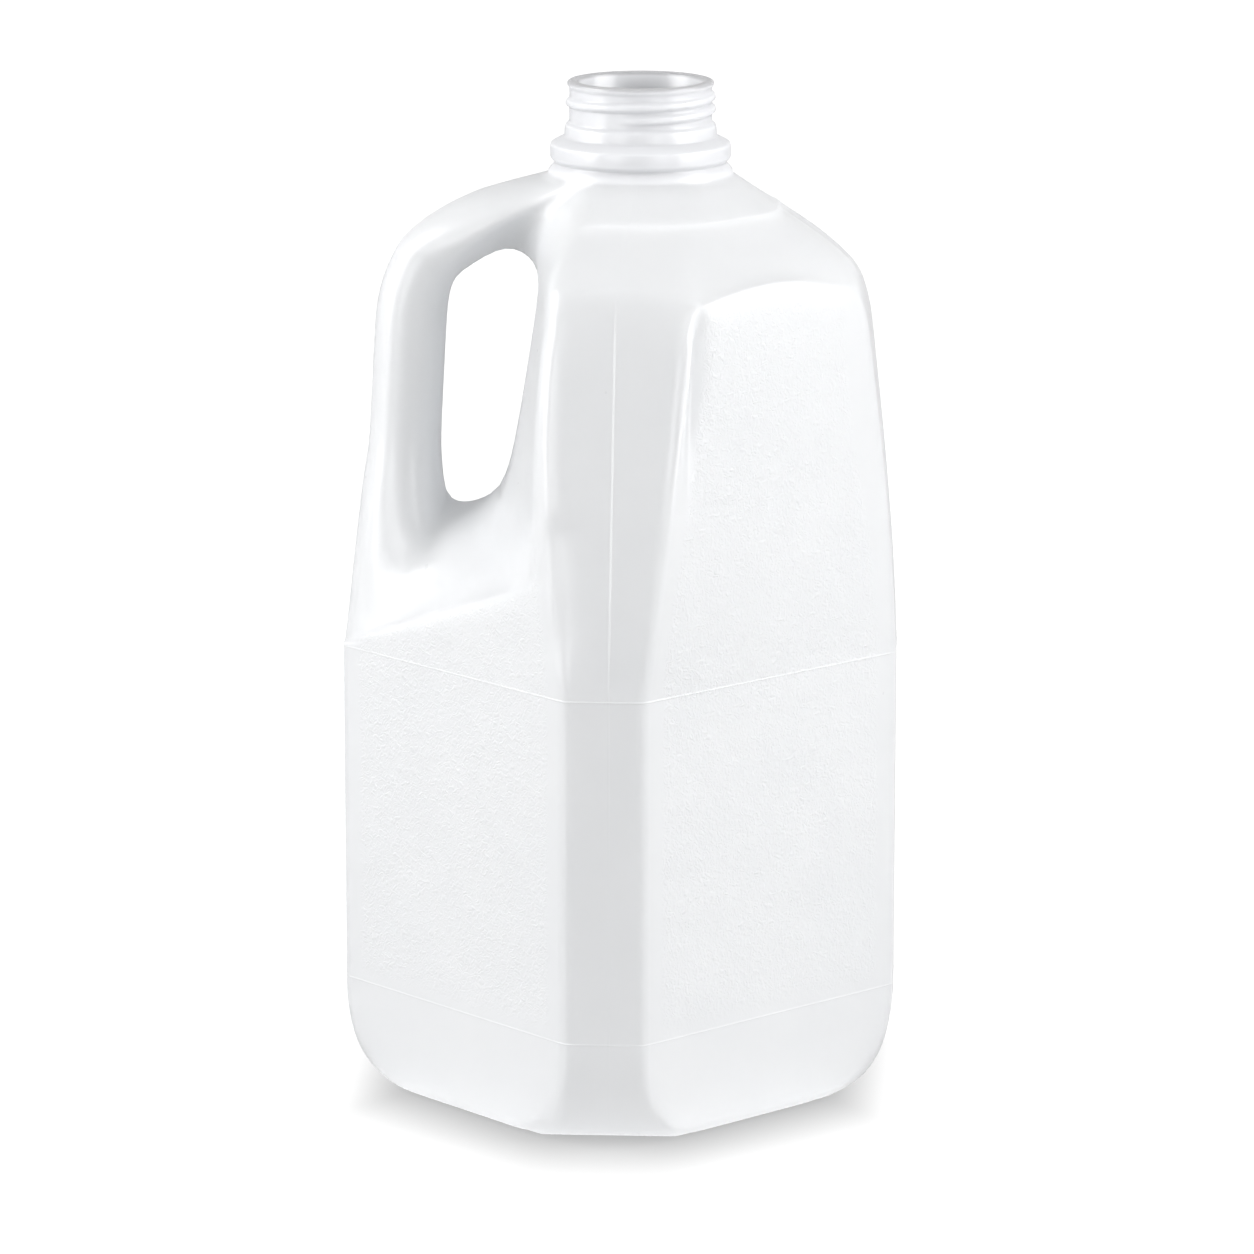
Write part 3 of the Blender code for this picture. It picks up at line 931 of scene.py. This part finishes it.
def floor_painted_shadow_glow(tree, glow_in_painted_shadow):
    """The light that the floor gives off, with a painted shadow: weak at the jug's foot and 1 a little
    away from it.
    """
    x, y, _ = split_node(tree, object_place(tree))
    x = value_node(tree, "ABSOLUTE", x)
    y = value_node(tree, "ABSOLUTE", y)
    past_face = value_node(tree, "SUBTRACT", value_node(tree, "ADD", x, y), FOOT_FACE * MM)
    past_side = value_node(tree, "SUBTRACT", x, FOOT_CORNER * MM)
    past_side = value_node(tree, "MULTIPLY", past_side, SIDE_HASTE)
    past_front = value_node(tree, "SUBTRACT", y, FOOT_CORNER * MM)
    past_corner = value_node(tree, "MAXIMUM", past_side, past_front)
    away = value_node(tree, "SMOOTH_MAX", past_face, past_corner, GLOW_BLEND * MM)
    spread = value_node(tree, "MULTIPLY", away, (1.0 - glow_in_painted_shadow) / (PAINTED_SHADOW_REACH * MM))
    glow = value_node(tree, "ADD", spread, glow_in_painted_shadow)
    return value_node(tree, "SMOOTH_MIN", glow, 1.0, GLOW_END)


def floor_material(look):
    """Pale studio floor with a painted contact shadow round the jug's foot. What the camera sees of it
    is set apart from what lights the jug.
    """
    pale = bpy.data.materials.new("studio_floor")
    pale.use_nodes = True
    tree = pale.node_tree
    shader = tree.nodes["Principled BSDF"]
    shader.inputs["Roughness"].default_value = FLOOR_ROUGHNESS
    shader.inputs["Specular IOR Level"].default_value = 0.0
    shader.inputs["Emission Color"].default_value = WHITE
    # Painted shadow: the glow is weak round the jug's foot, which paints the contact shadow that the
    # camera sees.
    glow = floor_painted_shadow_glow(tree, look.floor_painted_shadow_glow)
    fill = product_node(tree, value_node(tree, "SUBTRACT", 1.0, glow), look.floor_fill)
    seen = tree.nodes.new("ShaderNodeLightPath").outputs["Is Camera Ray"]
    strength = mix_node(tree, seen, fill, glow, "FLOAT")
    colour = mix_node(tree, seen, look.floor_bounce, look.floor_colour)
    tree.links.new(colour, shader.inputs["Base Color"])
    tree.links.new(strength, shader.inputs["Emission Strength"])
    return pale


# Pieces, lamps and camera


def add_piece(name, mesh, material):
    """A smoothly shaded object at the origin, made of a bmesh and one material."""
    data = bpy.data.meshes.new(name)
    mesh.to_mesh(data)
    mesh.free()
    data.shade_smooth()
    data.materials.append(material)
    piece = bpy.data.objects.new(name, data)
    bpy.context.scene.collection.objects.link(piece)
    return piece


def add_lamp(name, setting, power, side):
    """A soft light that faces the jug. Its side is 1 on the right and -1 on the left."""
    around, above, distance, width, height = setting
    around = math.radians(around) * side
    above = math.radians(above)
    level = math.cos(above)
    towards = Vector((math.sin(around) * level, -math.cos(around) * level, math.sin(above)))
    data = bpy.data.lights.new(name, "AREA")
    data.shape = "RECTANGLE"
    data.size = width
    data.size_y = height
    data.energy = power
    lamp = bpy.data.objects.new(name, data)
    lamp.location = JUG_MIDDLE + towards * distance
    lamp.rotation_euler = (-towards).to_track_quat("-Z", "Y").to_euler()
    bpy.context.scene.collection.objects.link(lamp)


def add_camera(stage):
    """The camera, at the photo's viewing angle."""
    data = bpy.data.cameras.new("camera")
    data.sensor_width = SENSOR_WIDTH
    data.lens = stage.lens
    data.clip_end = CAMERA_REACH
    camera = bpy.data.objects.new("camera", data)
    camera.location = CAMERA_PLACE
    camera.rotation_euler = (math.radians(90.0 - CAMERA_DOWN), 0.0, math.radians(CAMERA_TURN))
    bpy.context.scene.collection.objects.link(camera)
    bpy.context.scene.camera = camera


# Add-on


class JugSizes(bpy.types.PropertyGroup):
    """Sizes of the shell that a user would change"""

    wall: FloatProperty(
        name="Wall",
        description="Thickness of the body's shell",
        default=0.00045,
        unit="LENGTH",
    )
    seam_rise: FloatProperty(
        name="Seam rise",
        description="How far the mould's ribs stand out",
        default=0.00009,
        unit="LENGTH",
    )


class JugLook(bpy.types.PropertyGroup):
    """Colour and finish of the plastic"""

    thin_colour: FloatVectorProperty(
        name="Thin colour",
        description="Colour of the plastic where its wall is a little thinner",
        default=(0.72, 0.735, 0.755, 1.0),
        size=4,
        subtype="COLOR",
    )
    thick_colour: FloatVectorProperty(
        name="Thick colour",
        description="Colour of the plastic where its wall is a little thicker",
        default=(0.77, 0.78, 0.795, 1.0),
        size=4,
        subtype="COLOR",
    )
    # Painted shade: the neck is painted darker than the body for the dimmer look of its thick wall; the
    # plastic is the same.
    neck_painted_shade: FloatVectorProperty(
        name="Neck colour",
        description="Colour of the neck, whose thick wall lets less light through",
        default=(0.57, 0.575, 0.59, 1.0),
        size=4,
        subtype="COLOR",
    )
    # Painted shade: the lip is painted darker still, for the dimmer look of the thickest wall.
    lip_painted_shade: FloatVectorProperty(
        name="Lip colour",
        description="Colour of the lip round the mouth, the thickest part of the wall",
        default=(0.36, 0.36, 0.37, 1.0),
        size=4,
        subtype="COLOR",
    )
    roughness: FloatProperty(
        name="Roughness",
        description="How dull the smooth parts of the plastic are",
        default=0.26,
        subtype="FACTOR",
    )
    glow: FloatProperty(
        name="Glow",
        description="Share of the light that spreads inside the plastic",
        default=0.6,
        subtype="FACTOR",
    )
    glow_depth: FloatProperty(
        name="Glow depth",
        description="How far light spreads inside the plastic",
        default=0.004,
        unit="LENGTH",
    )
    clearness: FloatProperty(
        name="Clearness",
        description="Share of the light that passes through the wall",
        default=0.0,
        subtype="FACTOR",
    )
    grain_size: FloatProperty(
        name="Grain size",
        description="Size of one cell of the grain on the label faces",
        default=0.0014,
        unit="LENGTH",
    )
    grain_depth: FloatProperty(
        name="Grain depth",
        description="Depth of the grain on the label faces",
        default=0.00028,
        unit="LENGTH",
    )
    waviness: FloatProperty(
        name="Waviness",
        description="How uneven the blown walls are, beside the grain",
        default=0.3,
        subtype="FACTOR",
    )


class StageSetup(bpy.types.PropertyGroup):
    """The floor, the lens and the lights"""

    floor_size: FloatProperty(
        name="Floor size",
        description="Length of the floor's sides",
        default=16.0,
        unit="LENGTH",
    )
    floor_colour: FloatVectorProperty(
        name="Floor colour",
        description="Colour of the floor under the lamps' light",
        default=(0.13, 0.13, 0.13, 1.0),
        size=4,
        subtype="COLOR",
    )
    floor_bounce: FloatVectorProperty(
        name="Floor bounce",
        description="Colour of the light that the floor throws back onto the jug",
        default=(0.40, 0.40, 0.40, 1.0),
        size=4,
        subtype="COLOR",
    )
    # Painted shadow: the floor's glow at the jug's foot, kept low so that the floor paints the contact
    # shadow there.
    floor_painted_shadow_glow: FloatProperty(
        name="Floor glow",
        description="Light that the floor gives off at the jug's foot, as a light table does",
        default=0.36,
    )
    floor_fill: FloatProperty(
        name="Floor fill",
        description="Light that the floor gives the jug from below",
        default=1.3,
    )
    lens: FloatProperty(
        name="Lens",
        description="Focal length of the camera",
        default=182.75,
        unit="CAMERA",
    )
    front_power: FloatProperty(
        name="Front lamps",
        description="Power of the lamp on each side of the camera, in watts",
        default=2.5,
    )
    edge_power: FloatProperty(
        name="Edge lamps",
        description="Power of the narrow lamp on each side of the jug, in watts",
        default=2.8,
    )
    side_power: FloatProperty(
        name="Side lamps",
        description="Power of the wide lamp on each side of the jug, in watts",
        default=1.9,
    )
    high_power: FloatProperty(
        name="High lamps",
        description="Power of the raised lamp on each side of the jug, in watts",
        default=8.5,
    )
    sky: FloatProperty(
        name="Sky",
        description="Strength of the even light from all round",
        default=0.71,
    )


class JUG_OT_shell(bpy.types.Operator):
    """Model the jug's shell with its seams, handle, neck and thread"""

    bl_idname = "jug.shell"
    bl_label = "Jug shell"

    def execute(self, context):
        plastic = plastic_material(context.scene.jug_look)
        shell = add_piece("jug_shell", build_shell(context.scene.jug_sizes), plastic)
        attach(shell, "root")
        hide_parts("jug")
        return {"FINISHED"}


class JUG_OT_stage(bpy.types.Operator):
    """Set up the pale floor, the soft lights and the camera"""

    bl_idname = "jug.stage"
    bl_label = "Stage"

    def execute(self, context):
        stage = context.scene.jug_stage
        mesh = bmesh.new()
        bmesh.ops.create_grid(mesh, x_segments=1, y_segments=1, size=stage.floor_size / 2.0)
        add_piece("floor", mesh, floor_material(stage))
        lamps = (
            ("front_lamp", FRONT_LAMP, stage.front_power),
            ("edge_lamp", EDGE_LAMP, stage.edge_power),
            ("side_lamp", SIDE_LAMP, stage.side_power),
            ("high_lamp", HIGH_LAMP, stage.high_power),
        )
        for side in (-1.0, 1.0):
            for name, setting, power in lamps:
                add_lamp(name, setting, power, side)
        world = bpy.data.worlds.new("studio")
        world.use_nodes = True
        sky = world.node_tree.nodes["Background"]
        sky.inputs["Color"].default_value = WHITE
        sky.inputs["Strength"].default_value = stage.sky
        context.scene.world = world
        context.scene.view_settings.view_transform = "Standard"
        add_camera(stage)
        return {"FINISHED"}


class JUG_PT_panel(bpy.types.Panel):
    """Lists the steps that build the jug and its studio"""

    bl_idname = "JUG_PT_panel"
    bl_label = "Cider jug"
    bl_space_type = "VIEW_3D"
    bl_region_type = "UI"
    bl_category = "Cider jug"

    def draw(self, context):
        for group in (context.scene.jug_sizes, context.scene.jug_look, context.scene.jug_stage):
            box = self.layout.box()
            for name in group.__annotations__:
                box.prop(group, name)
        for operator in OPERATORS:
            self.layout.operator(operator.bl_idname)


OPERATORS = (JUG_OT_shell, JUG_OT_stage)
CLASSES = (JugSizes, JugLook, StageSetup, *OPERATORS, JUG_PT_panel)


def register():
    for item in CLASSES:
        bpy.utils.register_class(item)
    bpy.types.Scene.jug_sizes = PointerProperty(type=JugSizes)
    bpy.types.Scene.jug_look = PointerProperty(type=JugLook)
    bpy.types.Scene.jug_stage = PointerProperty(type=StageSetup)


def unregister():
    del bpy.types.Scene.jug_stage
    del bpy.types.Scene.jug_look
    del bpy.types.Scene.jug_sizes
    for item in reversed(CLASSES):
        bpy.utils.unregister_class(item)


def main():
    register()
    bpy.ops.jug.shell()
    bpy.ops.jug.stage()


if __name__ == "__main__":
    main()
